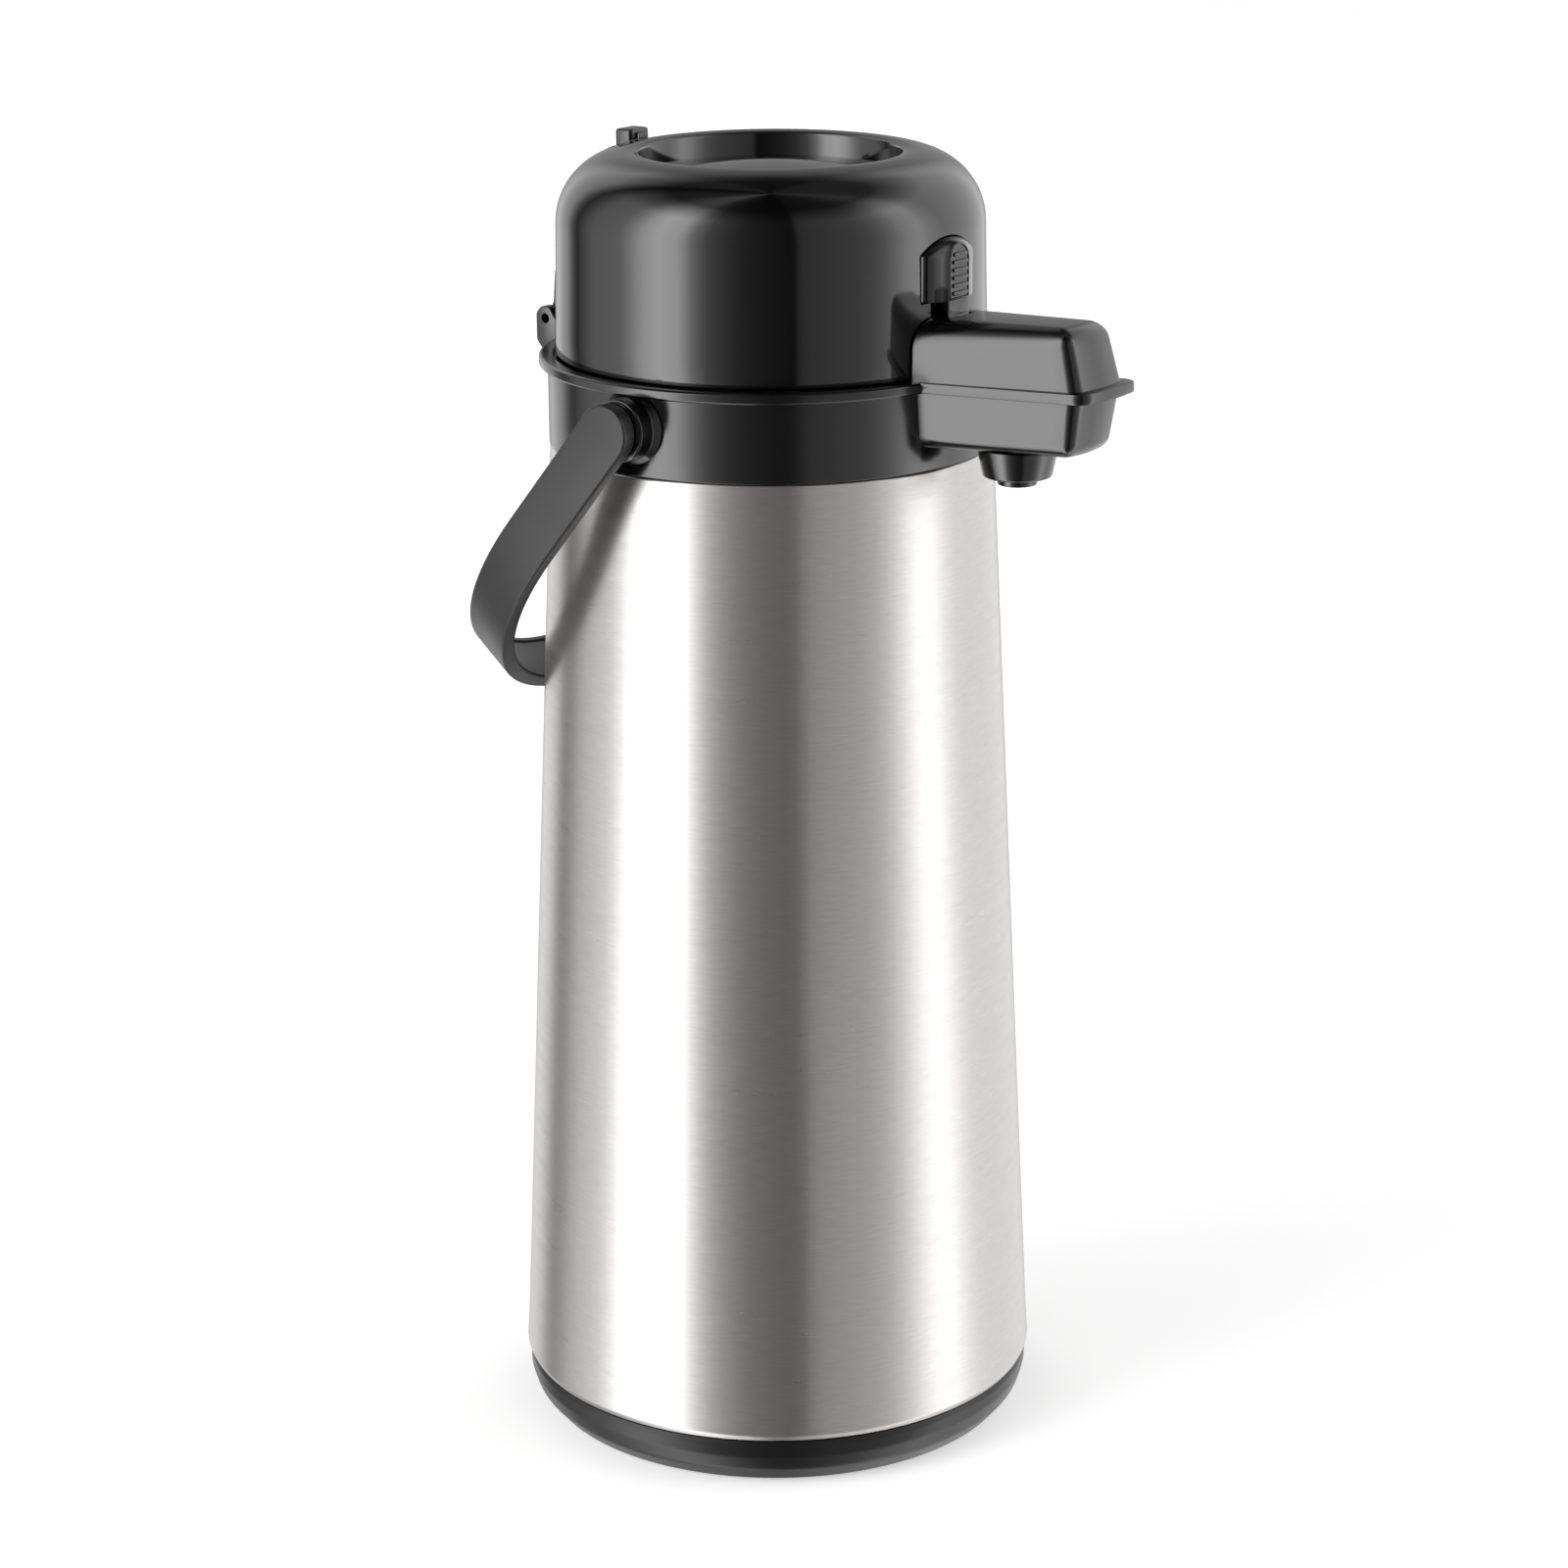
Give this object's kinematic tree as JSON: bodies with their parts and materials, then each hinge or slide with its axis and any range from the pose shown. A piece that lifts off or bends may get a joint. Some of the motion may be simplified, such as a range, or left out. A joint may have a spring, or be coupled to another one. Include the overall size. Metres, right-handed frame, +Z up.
{
  "type": "thermal coffee airpot",
  "caption": "Insulated pump airpot with a tapered brushed-steel jacket, black dome lid with push plate, front spout and swinging bail handle.",
  "frame": {"origin": "on the body's axis, at the plane that the foot ring stands on", "axes": "+Z up along the body's axis, spout towards -Y, handle pivots along X"},
  "size_m": [0.167, 0.213, 0.4123],
  "materials": {
    "steel": "brushed round the body, satin",
    "liner_steel": "drawn stainless steel",
    "gloss_black": "glossy moulded",
    "satin_black": "semi-gloss moulded",
    "base_black": "satin moulded",
    "handle_black": "fine satin texture",
    "inner_plastic": "moulded",
    "seal_rubber": "silicone rubber",
    "pin_steel": "bright wire and rod"
  },
  "bodies": {
    "shell": {"base_ring": "base_black", "foot_ring": "seal_rubber", "bottom_cap": "base_black", "liner_cushion": "seal_rubber", "outer_jacket": "steel", "liner_outer": "liner_steel", "liner_inner": "liner_steel", "neck_gasket": "seal_rubber", "collar": "satin_black", "spout_cover": "satin_black", "spout_tube": "liner_steel", "nozzle": "satin_black", "siphon_stem": "liner_steel", "stem_holder": "inner_plastic", "hinge_pin": "pin_steel", "trunnion_washers": "handle_black"},
    "lid": {"dome_cover": "gloss_black", "hinge_leaf": "satin_black", "inner_lid": "inner_plastic", "lid_gasket": "seal_rubber", "lid_screws": "pin_steel", "bellows": "seal_rubber", "pump_spring": "pin_steel", "latch_pin": "pin_steel", "latch_spring": "pin_steel"},
    "push_button": {"push_plate": "gloss_black", "bellows_head": "inner_plastic", "air_valve": "seal_rubber"},
    "latch": {"latch": "satin_black"},
    "lock_slider": {"lock_knob": "satin_black", "lock_shoe": "inner_plastic"},
    "handle": {"handle": "handle_black"}
  },
  "joints": [
    {"name": "lid_hinge", "type": "hinge", "parent": "shell", "child": "lid", "pos_m": [0, 0.0725, 0.3535], "axis": [-1, 0, 0], "range_deg": [0, 95]},
    {"name": "push_pump", "type": "slide", "parent": "lid", "child": "push_button", "axis": [0, 0, -1], "range_m": [0, 0.022], "stiffness_N_per_m": 700, "springref_m": -0.008, "deforming": ["bellows", "pump_spring"]},
    {"name": "latch_pivot", "type": "hinge", "parent": "lid", "child": "latch", "pos_m": [0, -0.0604, 0.376], "axis": [1, 0, 0], "range_deg": [0, 10], "stiffness_Nm_per_rad": 0.05, "springref_deg": -11.46},
    {"name": "lock_slide", "type": "hinge", "parent": "lid", "child": "lock_slider", "pos_m": [0, 0, 0.408], "axis": [0, 0, 1], "range_deg": [0, 22]},
    {"name": "handle_pivot", "type": "hinge", "parent": "shell", "child": "handle", "pos_m": [0, 0, 0.3353], "axis": [1, 0, 0], "range_deg": [0, 185]}
  ]
}
